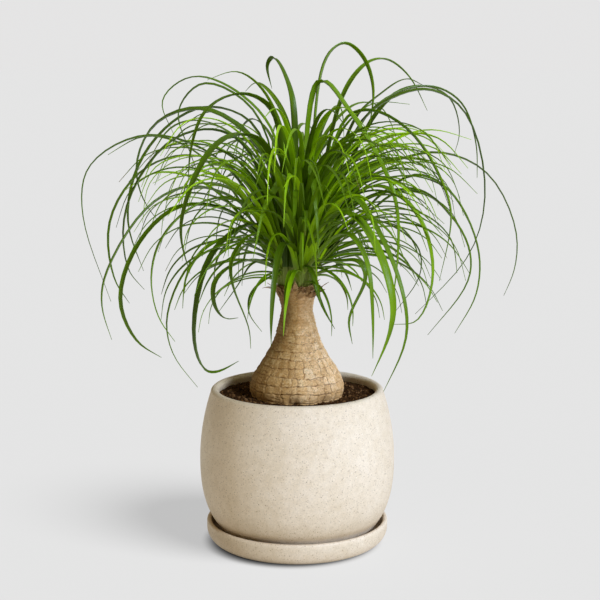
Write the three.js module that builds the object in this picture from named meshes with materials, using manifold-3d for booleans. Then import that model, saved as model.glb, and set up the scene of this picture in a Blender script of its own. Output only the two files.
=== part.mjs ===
// A ponytail palm in a round-bellied stoneware pot that stands in its saucer.
// Millimetres, +Z up. The origin is the middle of the saucer's flat underside, and -Y is the front.
// Sizes that belong to one piece stand at the head of that piece's section.
import * as THREE from "three";
import { mergeVertices } from "three/addons/utils/BufferGeometryUtils.js";
import Module from "manifold-3d";

const wasm = await Module();
wasm.setup();

// Sizes that several pieces share
const CLEARANCE = 0.3; // air between two pieces that rest on or in each other
const ROUND_SIDES = 36; // sides of everything that was turned on the wheel
const SAUCER_FLOOR = 5;
const POT_FOOT_Z = SAUCER_FLOOR + CLEARANCE;
const SOIL_TOP = 130.5;
const CROWN_Z = 228; // where the bare trunk ends and the leaves begin
const SEED = 20417;

const mix = (a, b, share) => a + (b - a) * share;
const radians = THREE.MathUtils.degToRad;

// Random numbers from 0 to 1 that come out the same every time
function makeRandom(seed) {
  let state = seed;
  return () => {
    state = (state * 1664525 + 1013904223) % 4294967296;
    return state / 4294967296;
  };
}

// Turns a profile of [radius, height] about the Z axis. It starts and ends on the axis, or closes on itself.
function turned(profile, sides = ROUND_SIDES) {
  const points = profile.map(([radius, height]) => new THREE.Vector2(radius, height));
  return new THREE.LatheGeometry(points, sides).rotateX(Math.PI / 2);
}

// Points of a quarter or half circle, or of an ellipse, in the profile's plane
function arc([radius, height], [across, up], fromDegrees, toDegrees, steps) {
  return Array.from({ length: steps + 1 }, (_, i) => {
    const angle = radians(mix(fromDegrees, toDegrees, i / steps));
    return [radius + across * Math.cos(angle), height + up * Math.sin(angle)];
  });
}

// Heights from one end to the other, closer together towards the first
const heights = (from, to, steps, crowding = 1) =>
  Array.from({ length: steps + 1 }, (_, i) => mix(from, to, (i / steps) ** crowding));

// The shared vertices of a closed geometry as a solid that can be joined to others
function solidOf(geometry) {
  const bare = geometry.clone();
  bare.deleteAttribute("normal");
  bare.deleteAttribute("uv");
  const merged = mergeVertices(bare, 1e-3);
  return new wasm.Manifold(
    new wasm.Mesh({
      numProp: 3,
      vertProperties: new Float32Array(merged.attributes.position.array),
      triVerts: new Uint32Array(merged.index.array),
    }),
  );
}

function geometryOf(solid) {
  const { vertProperties, triVerts, numProp } = solid.getMesh();
  const positions = new Float32Array((vertProperties.length / numProp) * 3);
  for (let i = 0; i * 3 < positions.length; i++)
    positions.set(vertProperties.subarray(i * numProp, i * numProp + 3), i * 3);
  const geometry = new THREE.BufferGeometry();
  geometry.setAttribute("position", new THREE.BufferAttribute(positions, 3));
  geometry.setIndex(new THREE.BufferAttribute(new Uint32Array(triVerts), 1));
  geometry.computeVertexNormals();
  return geometry;
}

// Joins solids that cross into one body. Hollows sealed between them fill up, and loose scraps drop.
function joined(solids) {
  const whole = solids.reduce((sum, next) => sum.add(next));
  return whole.decompose().reduce((a, b) => (b.volume() > a.volume() ? b : a));
}

function named(name, geometry, material) {
  const mesh = new THREE.Mesh(geometry, material);
  mesh.name = name;
  return mesh;
}

// Finishes
const stoneware = new THREE.MeshStandardMaterial({ color: "#dcd0bd", roughness: 0.8 });
const earth = new THREE.MeshStandardMaterial({ color: "#3b281c", roughness: 1 });
const bark = new THREE.MeshStandardMaterial({ color: "#a98b66", roughness: 0.9 });
const foliage = new THREE.MeshStandardMaterial({ color: "#4f8a2a", roughness: 0.45, side: THREE.DoubleSide });

// The saucer: a shallow dish with a rounded lower edge and a plump lip
const SAUCER_RADIUS = 79.7;
const SAUCER_HEIGHT = 20.5;
const SAUCER_WALL = 4;
const SAUCER_BASE_RADIUS = 66;
const SAUCER_EDGE_RISE = 13; // height of the rounded lower edge
const SAUCER_INNER_FILLET = 4;

function saucer() {
  const lip = SAUCER_WALL / 2;
  const inside = SAUCER_RADIUS - SAUCER_WALL;
  const edgeReach = SAUCER_RADIUS - SAUCER_BASE_RADIUS;
  return turned([
    [0, 0],
    ...arc([SAUCER_BASE_RADIUS, SAUCER_EDGE_RISE], [edgeReach, SAUCER_EDGE_RISE], -90, 0, 4),
    ...arc([SAUCER_RADIUS - lip, SAUCER_HEIGHT - lip], [lip, lip], 0, 180, 4),
    ...arc([inside - SAUCER_INNER_FILLET, SAUCER_FLOOR + SAUCER_INNER_FILLET],
      [SAUCER_INNER_FILLET, SAUCER_INNER_FILLET], 0, -90, 2),
    [0, SAUCER_FLOOR],
  ]);
}

// The pot: widest below the middle, drawn in to a rounded rim, with a hole in its floor
const POT_WALL = 7;
const POT_WAIST_RADIUS = 85.2;
const POT_WAIST_Z = 74;
const POT_RIM_RADIUS = 75.4;
const POT_TOP = 137.5;
const POT_LIP_Z = POT_TOP - POT_WALL / 2; // middle of the rounded lip
const POT_FLOOR = 8;
const POT_HOLE_RADIUS = 6.5;
const BELLY_CORE = 40; // the belly below the waist is a full curve round a core of this radius
const BELLY_DEPTH = 70;
const BELLY_FULLNESS = 2.35; // 2 is an ellipse, and more is squarer

// Radius of the pot's outer skin, or of a skin that lies some way inside it, at a height
function potRadius(z, inset = 0) {
  const waist = POT_WAIST_RADIUS - inset;
  if (z > POT_WAIST_Z) {
    const rise = (z - POT_WAIST_Z) / (POT_LIP_Z - POT_WAIST_Z);
    return waist - (POT_WAIST_RADIUS - POT_RIM_RADIUS) * rise ** 2;
  }
  const core = BELLY_CORE - inset;
  const depth = Math.min(1, (POT_WAIST_Z - z) / (BELLY_DEPTH - inset));
  return core + (waist - core) * (1 - depth ** BELLY_FULLNESS) ** (1 / BELLY_FULLNESS);
}

const potSkin = (zs, inset) => zs.map((z) => [potRadius(z, inset), z]);

const POT_FLOOR_Z = POT_FOOT_Z + POT_FLOOR;
const POT_INSIDE = [
  ...potSkin(heights(POT_FLOOR_Z, POT_WAIST_Z, 4, 1.5), POT_WALL),
  ...potSkin(heights(POT_WAIST_Z, POT_LIP_Z, 2).slice(1), POT_WALL),
];

function pot() {
  return turned([
    [POT_HOLE_RADIUS, POT_FOOT_Z],
    ...potSkin(heights(POT_FOOT_Z, POT_WAIST_Z, 7, 1.5)),
    ...potSkin(heights(POT_WAIST_Z, POT_LIP_Z, 3).slice(1)),
    ...arc([POT_RIM_RADIUS - POT_WALL / 2, POT_LIP_Z], [POT_WALL / 2, POT_WALL / 2], 0, 180, 6).slice(1, -1),
    ...POT_INSIDE.toReversed(),
    [POT_HOLE_RADIUS, POT_FLOOR_Z],
    [POT_HOLE_RADIUS, POT_FOOT_Z],
  ]);
}

// The trunk: a swollen foot that narrows to a neck and flares again under the leaves
const TRUNK_BOTTOM = 104;
const TRUNK_ROUND_Z = 112; // the buried end is rounded off below this
const TRUNK_COLUMNS = 44;
const TRUNK_OUTLINE = [
  [28, TRUNK_BOTTOM], [34.5, TRUNK_ROUND_Z], [36.6, 122], [39.2, 131], [41.2, 138], [38.9, 147], [33.6, 156],
  [27.9, 165], [23, 174], [19.2, 183], [15.9, 195], [13.5, 207], [15.2, 216], [17.6, 224], [17, CROWN_Z],
];
const BARK_FROM = 132; // the rings and cracks of the bark start just above the soil
const RING_PITCH = 6.8;
const RING_ROWS = 20;
const RING_DEPTH = 0.9;
const CRACK_DEPTH = 0.8;
const PEBBLE_ROWS = 5; // above the rings the bark is only pebbly
const PEBBLE_DEPTH = 0.6;
const LOBE_DEPTH = 1.1; // the folds of the foot where it meets the soil

const trunkCurve = new THREE.SplineCurve(TRUNK_OUTLINE.map(([r, z]) => new THREE.Vector2(r, z)));
const trunkSamples = trunkCurve.getPoints(200);

// Radius of the trunk's smooth form at a height
function trunkRadius(z) {
  const above = trunkSamples.findIndex((point) => point.y >= z);
  if (above < 1) return above === 0 ? trunkSamples[0].x : trunkSamples.at(-1).x;
  const [low, high] = [trunkSamples[above - 1], trunkSamples[above]];
  return mix(low.x, high.x, (z - low.y) / (high.y - low.y));
}

// How far the bark stands out of or into the smooth form, at a column and a row of the mesh
function barkRelief(column, row, z, random) {
  const angle = (column / TRUNK_COLUMNS) * 2 * Math.PI;
  if (z < BARK_FROM) return 0;
  const lobe = (Math.cos(7 * angle + 1) + Math.cos(11 * angle)) / 2;
  const lobes = LOBE_DEPTH * lobe * Math.max(0, 1 - (z - BARK_FROM) / 22);
  if (row > RING_ROWS) return PEBBLE_DEPTH * (random() - 0.5) * 2;
  const ring = Math.floor(row / 2);
  const groove = row % 2 === 0 ? -RING_DEPTH : 0;
  const tileColumns = trunkRadius(z) > 26 ? 2 : 4;
  const crack = (column + ring) % tileColumns === 0 ? -CRACK_DEPTH : 0;
  return lobes + Math.min(groove, crack) + 0.3 * (random() - 0.5);
}

function trunk() {
  const ringTop = BARK_FROM + (RING_PITCH / 2) * RING_ROWS;
  const buried = [TRUNK_BOTTOM, TRUNK_ROUND_Z, 121];
  const neck = heights(ringTop, CROWN_Z, PEBBLE_ROWS).slice(1);
  const rows = [...buried, ...heights(BARK_FROM, ringTop, RING_ROWS), ...neck];
  const profile = [[0, TRUNK_BOTTOM], ...rows.map((z) => [trunkRadius(z), z]), [0, CROWN_Z]];
  const geometry = turned(profile, TRUNK_COLUMNS);
  const random = makeRandom(SEED);
  const reliefs = Array.from({ length: TRUNK_COLUMNS }, (_, column) =>
    rows.map((z, row) => (z < CROWN_Z ? barkRelief(column, row - buried.length, z, random) : 0)),
  );
  const position = geometry.attributes.position;
  for (let i = 0; i < position.count; i++) {
    const row = (i % profile.length) - 1;
    if (row < 0 || row >= rows.length) continue;
    const column = Math.floor(i / profile.length) % TRUNK_COLUMNS;
    const [x, y] = [position.getX(i), position.getY(i)];
    const stretch = 1 + reliefs[column][row] / Math.hypot(x, y);
    position.setXY(i, x * stretch, y * stretch);
  }
  return geometry;
}

// The soil: it fills the pot, with a plain hole for the foot of the trunk and a crumbly top
const SOIL_HOLE_RADIUS = 40.2;
const SOIL_HOLE_BOTTOM = TRUNK_BOTTOM - CLEARANCE;
const SOIL_HOLE_FLOOR_RADIUS = 31;
const SOIL_RINGS = 4;
const SOIL_CRUMB = 1.1;

function soil() {
  const bottom = POT_FLOOR_Z + CLEARANCE;
  const sides = POT_INSIDE.filter(([, z]) => z < SOIL_TOP - SOIL_CRUMB);
  const rings = heights(potRadius(SOIL_TOP, POT_WALL + 2 * CLEARANCE), SOIL_HOLE_RADIUS, SOIL_RINGS);
  const profile = [
    [0, bottom],
    ...sides.map(([radius, z]) => [radius - CLEARANCE, Math.max(z, bottom)]),
    ...rings.map((radius) => [radius, SOIL_TOP]),
    [SOIL_HOLE_RADIUS, TRUNK_ROUND_Z],
    [SOIL_HOLE_FLOOR_RADIUS, SOIL_HOLE_BOTTOM],
    [0, SOIL_HOLE_BOTTOM],
  ];
  const geometry = turned(profile);
  const random = makeRandom(SEED + 1);
  const crumbs = Array.from({ length: ROUND_SIDES }, () => rings.map(() => SOIL_CRUMB * (random() - 0.6)));
  const position = geometry.attributes.position;
  for (let i = 0; i < position.count; i++) {
    const ring = (i % profile.length) - sides.length - 1;
    if (ring < 0 || ring >= rings.length) continue;
    const side = Math.floor(i / profile.length) % ROUND_SIDES;
    position.setZ(i, SOIL_TOP + crumbs[side][ring]);
  }
  return geometry;
}

// The leaves grow from four heads on top of the trunk. Each head keeps to its own sector, given in
// degrees from +X towards the back, so that no leaf of one head crosses a leaf of another.
// A traced leaf is its heading, its width and the [reach, height] of the places that it passes,
// reach being measured outwards from its head. The last place is the leaf's tip. Fill is the number of
// leaves that a rule adds. Spread lengthens them, so that the crown is round from above. Fullness is how
// steeply they rise, from 0, a low leaf, to 1, one that stands nearly upright, and hang is how far under
// level their tips point, in degrees.
const HEADS = [
  {
    name: "leaf_head_left",
    sector: [142, 244],
    spread: 1,
    fill: 20,
    fullness: [0.2, 0.95],
    hang: [60, 100],
    traced: [
      [178, 4, [50, 331], [115, 357], [165, 332], [172, 290], [150, 215]],
      [166, 4, [46, 324], [90, 338], [137, 321], [170, 275], [166, 225], [150, 203]],
      [200, 7, [37, 298], [85, 316], [125, 300], [162, 250], [167, 223], [159, 194]],
      [193, 6, [32, 344], [63, 362], [102, 351], [138, 300], [138, 249], [124, 230]],
      [208, 7, [44, 290], [95, 300], [131, 271], [148, 226], [135, 190], [114, 174]],
      [216, 5, [47, 304], [90, 303], [125, 278], [136, 247], [130, 215], [114, 192]],
      [223, 9, [28, 282], [59, 278], [90, 255], [105, 200], [96, 170], [80, 164], [55, 169]],
      [230, 4, [31, 270], [65, 271], [115, 260], [143, 221], [138, 190], [110, 157]],
      [237, 6, [32, 251], [63, 256], [104, 245], [106, 228], [92, 213], [72, 210]],
      [239, 4, [18, 238], [34, 236], [54, 226], [56, 212], [38, 193]],
      [198, 4, [15, 250], [30, 247], [42, 230], [59, 208]],
      [241, 5, [32, 274], [61, 276], [85, 260], [84, 240], [60, 200], [58, 182]],
      [229, 7, [6, 340], [16, 377], [56, 392], [95, 378], [110, 350], [114, 323]],
      [175, 4, [21, 370], [69, 400], [92, 376], [83, 344], [74, 319]],
      [158, 4, [9, 354], [46, 393], [86, 405], [114, 384], [103, 354]],
      [171, 9, [11, 322], [35, 358], [73, 378], [115, 365], [133, 330], [128, 300], [113, 279]],
      [235, 9, [17, 336], [50, 358], [80, 356], [105, 340], [128, 302], [131, 280], [122, 252]],
      [150, 5, [27, 361], [73, 379], [113, 365], [150, 325], [162, 274], [146, 230]],
    ],
  },
  {
    name: "leaf_head_front",
    sector: [244, 333],
    spread: 1,
    fill: 34,
    fullness: [0.5, 1],
    hang: [20, 75],
    traced: [
      [325, 9, [10, 378], [21, 403], [45, 380], [69, 351], [93, 310], [97, 266], [87, 187]],
      [318, 6, [28, 299], [55, 311], [86, 284], [114, 238], [120, 200], [95, 151]],
      [306, 9, [45, 293], [73, 292], [99, 267], [115, 230], [112, 204], [92, 165]],
      [298, 6, [52, 273], [83, 281], [110, 262], [119, 220], [120, 187]],
      [315, 4, [11, 242], [19, 225], [28, 210], [40, 196]],
      [327, 6, [37, 252], [58, 253], [64, 240], [48, 205], [52, 183]],
      [248, 8, [15, 305], [30, 324], [58, 312], [75, 300], [95, 262]],
      [252, 7, [19, 262], [50, 269], [68, 251], [80, 215], [81, 191]],
      [284, 9, [5, 330], [12, 347], [30, 335], [50, 305], [62, 260]],
      [265, 8, [4, 315], [10, 331], [35, 327], [60, 300], [78, 286]],
    ],
  },
  {
    name: "leaf_head_right",
    sector: [-27, 51],
    spread: 1,
    fill: 33,
    fullness: [0.15, 0.95],
    hang: [60, 100],
    traced: [
      [20, 7, [7, 380], [17, 422], [32, 433], [50, 420], [59, 393], [55, 360]],
      [31, 6, [31, 380], [56, 413], [80, 420], [110, 404], [133, 374]],
      [43, 4, [55, 365], [95, 390], [130, 402], [158, 396]],
      [35, 5, [60, 360], [90, 390], [120, 396], [145, 385], [155, 355], [150, 335]],
      [2, 6, [41, 364], [75, 389], [104, 394], [134, 375], [152, 310], [140, 253], [93, 201]],
      [11, 4, [52, 375], [105, 397], [139, 382], [154, 346], [156, 316]],
      [6, 5, [55, 325], [77, 334], [114, 341], [155, 323], [180, 275], [180, 240], [171, 216]],
      [-10, 9, [30, 369], [55, 377], [90, 357], [118, 310], [123, 285], [114, 235]],
      [-15, 5, [31, 280], [61, 285], [95, 265], [98, 240], [76, 206]],
      [-20, 7, [49, 311], [71, 313], [100, 290], [113, 245], [100, 203], [78, 198]],
      [-10, 5, [77, 310], [103, 307], [135, 270], [138, 236], [104, 187]],
      [-3, 5, [85, 322], [119, 310], [145, 262], [145, 220], [127, 185]],
    ],
  },
  {
    name: "leaf_head_back",
    sector: [51, 142],
    spread: 1.1,
    fill: 46,
    fullness: [0.25, 1],
    hang: [60, 100],
    traced: [
      [120, 5, [4, 335], [18, 369], [44, 390], [72, 399], [93, 391]],
      [122, 7, [3, 367], [11, 395], [36, 421], [47, 414], [39, 394]],
    ],
  },
];
const HEAD_OFFSET = 10; // from the trunk's axis to the middle of a head
const HEAD_OUTLINE = [[0, 0], [7, 0], [9.5, 12], [13, 34], [9, 58], [0, 72]]; // the bundled bases of the leaves
const ROOT_REACH = 2; // where a leaf starts inside its head
const ROOT_HEIGHTS = [236, 252];
const BLADE_DEPTH = 1.2; // from the flat of the blade to its keel
const BLADE_WIDTHS = [3.5, 6.5];
const BLADE_ROLL = 40; // most that a blade turns about its length towards the tip, in degrees
const BLADE_DRIFT = 16; // most that a blade swings sideways where it is DRIFT_REACH away, in degrees
const DRIFT_REACH = 150;
const TRACED_SWING = 0.5; // a traced leaf swings less, and only along the line of sight from the front
const BLADE_STEP = 34; // rough length of one step along a blade
const FEWEST_STEPS = 5;
const MOST_STEPS = 8;
const LIFTS = [14, 82]; // degrees over level at which the lowest and the steepest filling leaves set out
const LENGTHS = [105, 250];
const ARCHES = [1, 1.9]; // 1 bends a leaf evenly, and more bends it further out
const ARCH_STEPS = 12;

// The places that a filling leaf passes: it sets out from its root at its lift, and bends more and more
// until its tip hangs down
function filledPlaces(fullness, spread, hang, random) {
  let [reach, height] = [ROOT_REACH, mix(...ROOT_HEIGHTS, 0.6 * fullness + 0.4 * random())];
  const step = (mix(...LENGTHS, fullness) * mix(0.75, 1, random()) * spread) / ARCH_STEPS;
  const [lift, fall, arch] = [mix(...LIFTS, fullness), mix(...hang, random()), mix(...ARCHES, fullness)];
  const places = [[reach, height]];
  for (let i = 0; i < ARCH_STEPS; i++) {
    const angle = radians(mix(lift, -fall, ((i + 0.5) / ARCH_STEPS) ** arch));
    reach += step * Math.cos(angle);
    height += step * Math.sin(angle);
    if (i % 2 === 1) places.push([reach, height]);
  }
  return places;
}

// Keeps a point inside its head's sector
function heldBetween(walls, point, room) {
  for (const wall of [...walls, ...walls]) {
    const inside = point.x * wall.x + point.y * wall.y;
    if (inside < room) point.addScaledVector(wall, room - inside);
  }
  return point;
}

// Keeps a point of a blade inside its head's sector and clear of the trunk
function bentClear(walls, point, room) {
  heldBetween(walls, point, room);
  const reach = Math.hypot(point.x, point.y);
  const clear = trunkRadius(point.z) + room + 1;
  if (point.z < CROWN_Z + 2 && reach < clear) {
    point.x *= clear / reach;
    point.y *= clear / reach;
  }
  return point;
}

// A keeled blade along a line of points: a three-sided cone whose rings are moved onto the line
function blade(line, heading, width, roll) {
  const steps = line.length - 1;
  const geometry = new THREE.ConeGeometry(1, 1, 3, steps);
  const across = new THREE.Vector3(-Math.sin(heading), Math.cos(heading), 0);
  const position = geometry.attributes.position;
  for (let i = 0; i < position.count; i++) {
    const share = position.getY(i) + 0.5;
    const index = Math.round(share * steps);
    const size = Math.max(1 - share, 1e-6);
    const side = position.getX(i) / size / Math.sin(Math.PI / 1.5);
    const below = (position.getZ(i) / size + 0.5) / 1.5;
    const along = line[Math.min(index + 1, steps)].clone().sub(line[Math.max(index - 1, 0)]).normalize();
    const flat = across.clone().addScaledVector(along, -across.dot(along)).normalize();
    flat.applyAxisAngle(along, roll * share);
    const up = along.clone().cross(flat);
    const half = index === steps ? 0 : 0.5 * width * Math.min(1, 0.7 + share) * (1 - share ** 2.2);
    const depth = index === steps ? 0 : BLADE_DEPTH;
    const corner = line[index].clone().addScaledVector(flat, side * half).addScaledVector(up, -below * depth);
    position.setXYZ(i, corner.x, corner.y, corner.z);
  }
  return geometry;
}

function leafHead({ sector, spread, fill, fullness, hang, traced }, random) {
  const [from, to] = sector.map(radians);
  const middle = (from + to) / 2;
  const walls = [
    new THREE.Vector3(-Math.sin(from), Math.cos(from), 0),
    new THREE.Vector3(Math.sin(to), -Math.cos(to), 0),
  ];
  const centre = new THREE.Vector3(Math.cos(middle), Math.sin(middle), 0).multiplyScalar(HEAD_OFFSET);
  const core = turned(HEAD_OUTLINE, 8).translate(centre.x, centre.y, CROWN_Z + CLEARANCE);
  const corners = core.attributes.position;
  for (let i = 0; i < corners.count; i++) {
    const corner = heldBetween(walls, new THREE.Vector3().fromBufferAttribute(corners, i), CLEARANCE / 2);
    corners.setXYZ(i, corner.x, corner.y, corner.z);
  }

  const leaf = (heading, width, places, swing) => {
    const roll = radians(BLADE_ROLL) * (random() * 2 - 1);
    const drift = radians(BLADE_DRIFT) * swing * (random() * 2 - 1);
    const passes = places.map(([reach, height]) => {
      const bearing = heading + drift * (reach / DRIFT_REACH);
      return new THREE.Vector3(reach * Math.cos(bearing), reach * Math.sin(bearing), height).add(centre);
    });
    const curve = new THREE.CatmullRomCurve3(passes, false, "centripetal");
    const room = width / 2 + CLEARANCE;
    const steps = THREE.MathUtils.clamp(Math.round(curve.getLength() / BLADE_STEP), FEWEST_STEPS, MOST_STEPS);
    const line = curve.getPoints(steps);
    return blade(line.map((point) => bentClear(walls, point, room)), heading, width, roll);
  };

  const blades = traced.map(([degrees, width, ...places]) => {
    const heading = radians(degrees);
    const root = [ROOT_REACH, mix(...ROOT_HEIGHTS, random())];
    return leaf(heading, width, [root, ...places], TRACED_SWING * Math.abs(Math.cos(heading)));
  });
  for (let i = 0; i < fill; i++) {
    const heading = mix(from, to, (i + 0.2 + 0.6 * random()) / fill);
    const width = mix(...BLADE_WIDTHS, random());
    const full = mix(...fullness, 1 - ((i * 0.618) % 1));
    blades.push(leaf(heading, width, filledPlaces(full, spread, hang, random), 1));
  }
  return geometryOf(joined([core, ...blades].map(solidOf)));
}

const palm = new THREE.Group();
palm.add(
  named("saucer", saucer(), stoneware),
  named("pot", pot(), stoneware),
  named("soil", soil(), earth),
  named("trunk", trunk(), bark),
);
const leafRandom = makeRandom(SEED + 2);
for (const head of HEADS) palm.add(named(head.name, leafHead(head, leafRandom), foliage));

export default palm;
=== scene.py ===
# %% [markdown]
# # A ponytail palm in a stoneware pot
#
# The object is a young ponytail palm: a swollen, cracked foot, a thin neck and a fountain of long
# leaves, growing in a round-bellied pot that stands in its saucer. The solids of each piece come in as
# a frame. Everything here is built round that frame, in metres, with +Z up and the saucer's underside
# at the origin. Sizes are written in millimetres, as a maker would write them, and multiplied by MM.

# %% Load the frame
import math

import bmesh
import bpy
import numpy as np
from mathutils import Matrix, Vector, noise


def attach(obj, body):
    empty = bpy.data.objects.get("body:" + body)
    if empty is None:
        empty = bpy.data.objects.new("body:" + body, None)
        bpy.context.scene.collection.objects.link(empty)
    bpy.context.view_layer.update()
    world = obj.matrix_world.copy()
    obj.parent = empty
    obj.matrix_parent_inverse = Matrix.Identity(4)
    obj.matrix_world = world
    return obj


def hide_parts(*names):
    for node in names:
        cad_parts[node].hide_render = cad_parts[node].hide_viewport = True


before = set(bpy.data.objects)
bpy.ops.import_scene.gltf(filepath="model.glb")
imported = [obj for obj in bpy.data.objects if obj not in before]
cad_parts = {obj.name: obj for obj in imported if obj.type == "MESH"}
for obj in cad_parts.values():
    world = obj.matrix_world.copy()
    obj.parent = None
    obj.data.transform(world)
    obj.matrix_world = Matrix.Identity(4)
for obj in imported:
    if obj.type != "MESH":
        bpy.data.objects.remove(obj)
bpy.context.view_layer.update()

MM = 0.001
print("nodes in the frame:", sorted(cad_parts))

# %% [markdown]
# ## Small tools
#
# A plant needs chance, but the same chance on every run. Python's own random module would do, but the
# solids were grown by a rule with its own little generator, and the finer leaves here have to come out
# in the same places. So the same generator is written again: one multiplication and one addition.

# %% Numbers and chance
SEED = 20417


def mix(low, high, share):
    return low + (high - low) * share


def make_random(seed):
    state = seed

    def draw():
        nonlocal state
        state = (state * 1664525 + 1013904223) % 4294967296
        return state / 4294967296

    return draw


def crowded(low, high, steps, crowding=1.0):
    """Numbers from low to high, closer together towards low when crowding is over 1."""
    return [mix(low, high, (i / steps) ** crowding) for i in range(steps + 1)]


def arc(centre, reach, first, last, steps):
    """Points of a part of a circle or an ellipse, in degrees, in a profile's plane."""
    angles = [math.radians(mix(first, last, i / steps)) for i in range(steps + 1)]
    return [(centre[0] + reach[0] * math.cos(a), centre[1] + reach[1] * math.sin(a)) for a in angles]


print("the first draw is", round(make_random(SEED)(), 4))

# %% [markdown]
# Leaves and the trunk's outline both follow a smooth line through a few places. A Bezier curve would
# need handles set by hand. A Catmull-Rom line passes through every place by itself, and the
# centripetal kind does it without loops where two places lie close together.

# %% A smooth line through a few places
def smooth_line(places, shares):
    """Points of the centripetal Catmull-Rom line through the places, at shares from 0 to 1."""
    places = np.asarray(places, float)
    padded = np.vstack([2 * places[0] - places[1], places, 2 * places[-1] - places[-2]])
    spans = len(places) - 1
    line = []
    for share in shares:
        span = min(int(share * spans), spans - 1)
        t = share * spans - span
        p0, p1, p2, p3 = padded[span : span + 4]
        d0, d1, d2 = (np.linalg.norm(b - a) ** 0.5 or 1.0 for a, b in ((p0, p1), (p1, p2), (p2, p3)))
        leave = ((p1 - p0) / d0 - (p2 - p0) / (d0 + d1) + (p2 - p1) / d1) * d1
        arrive = ((p2 - p1) / d1 - (p3 - p1) / (d1 + d2) + (p3 - p2) / d2) * d1
        bend = -3 * p1 + 3 * p2 - 2 * leave - arrive
        turn = 2 * p1 - 2 * p2 + leave + arrive
        line.append(p1 + t * leave + t * t * bend + t**3 * turn)
    return np.array(line)


# %% [markdown]
# ## A small language for finishes
#
# A finish is a graph of shader nodes, and wiring each node by hand hides the idea behind it. Here one
# class wraps a socket, so that sums and products of patterns are written as plain arithmetic, and one
# method adds any other node from its type, its settings and what goes into its sockets.

# %% Shader arithmetic
class Wire:
    """The output of a shader node. Arithmetic on it adds Math nodes."""

    def __init__(self, finish, socket):
        self.finish, self.socket = finish, socket

    def _math(self, operation, first, second):
        return self.finish.node("ShaderNodeMath", {"operation": operation}, {0: first, 1: second})

    def __add__(self, other):
        return self._math("ADD", self, other)

    def __sub__(self, other):
        return self._math("SUBTRACT", self, other)

    def __rsub__(self, other):
        return self._math("SUBTRACT", other, self)

    def __mul__(self, other):
        return self._math("MULTIPLY", self, other)

    __radd__ = __add__
    __rmul__ = __mul__


# %% Finishes
class Finish:
    """A material under construction: every node is added by the one method, node."""

    def __init__(self, name):
        self.material = bpy.data.materials.new(name)
        self.material.use_nodes = True
        self.tree = self.material.node_tree
        self.tree.nodes.clear()

    def node(self, kind, settings=None, inputs=None, output=0):
        made = self.tree.nodes.new(kind)
        for name, value in (settings or {}).items():
            if name == "stops":
                self._set_stops(made.color_ramp, value)
            else:
                setattr(made, name, value)
        for name, value in (inputs or {}).items():
            if isinstance(value, Wire):
                self.tree.links.new(value.socket, made.inputs[name])
            else:
                made.inputs[name].default_value = value
        return Wire(self, made.outputs[output]) if made.outputs else None

    @staticmethod
    def _set_stops(ramp, stops):
        while len(ramp.elements) < len(stops):
            ramp.elements.new(0.5)
        for element, (position, colour) in zip(ramp.elements, stops):
            element.position = position
            element.color = colour if isinstance(colour, tuple) else (colour,) * 3 + (1,)

    def place(self):
        return self.node("ShaderNodeTexCoord", output="Object")

    def attribute(self, name):
        return self.node("ShaderNodeAttribute", {"attribute_name": name}, output="Fac")

    def noise(self, vector, scale, detail=3.0, roughness=0.5):
        sockets = {"Vector": vector, "Scale": scale, "Detail": detail, "Roughness": roughness}
        return self.node("ShaderNodeTexNoise", inputs=sockets)

    def ramp(self, factor, stops):
        return self.node("ShaderNodeValToRGB", {"stops": stops}, {0: factor})

    def blend(self, factor, first, second, mode="MIX"):
        settings = {"data_type": "RGBA", "blend_type": mode}
        return self.node("ShaderNodeMix", settings, {0: factor, 6: first, 7: second}, 2)

    def bump(self, height, distance, strength=1.0):
        sockets = {"Height": height, "Distance": distance, "Strength": strength}
        return self.node("ShaderNodeBump", inputs=sockets)

    def surface(self, shader):
        self.node("ShaderNodeOutputMaterial", inputs={"Surface": shader})
        return self.material


def rgb(red, green, blue):
    """A colour for a shader socket, from linear values."""
    return (red, green, blue, 1.0)


print("finish tools ready")

# %% [markdown]
# ## Room, light and camera
#
# The photograph has soft light from the right, above and in front, and so much fill from all sides
# that floor and background are one pale grey. Area lamps would fade across the floor. A sun with a
# wide disc is as soft and falls alike on the whole floor, so no falloff shows at the horizon.
#
# One sun could do for everything, but the one that rounds off the pot stands so low that its shadow
# would run out of view, and the leaves would blur it further. Light linking parts the two jobs. A low
# and a high sun leave out the floor, and light only the plant and its pot. A third falls on the floor
# alone, and only the pot and the saucer stop it, which gives the short, soft shadow of the photograph.
#
# The floor glows faintly, as a pale studio floor does under bounced light, which keeps its shadow pale.
# Right beside the saucer a contact shadow is painted into the floor: there its colour and its glow fade to
# dark.

# %% Floor
BACKDROP = 0.783  # the pale grey of floor and background, as linear light
FLOOR_SIZE = 60.0
FLOOR_COLOUR = (0.12, 0.12, 0.12)
FLOOR_GLOW = (0.505, 0.510, 0.518)  # with the sky and the floor's sun it comes to the backdrop's grey
FLOOR_PAINTED_SHADOW = (0.03, 0.025, 0.02)  # painted contact shadow: the floor's colour where the saucer all but touches it
PAINTED_SHADOW_MIDDLE = (-4.5 * MM, -1.2 * MM)
PAINTED_SHADOW_RADII = (64 * MM, 82 * MM)  # the painted shadow is dark inside the first, open floor beyond the second


def mesh_of(name, bm):
    mesh = bpy.data.meshes.new(name)
    bm.to_mesh(mesh)
    bm.free()
    return mesh


def new_object(name, mesh):
    """An object that sits at the origin, with its place in its mesh."""
    piece = bpy.data.objects.new(name, mesh)
    bpy.context.scene.collection.objects.link(piece)
    return piece


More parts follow.
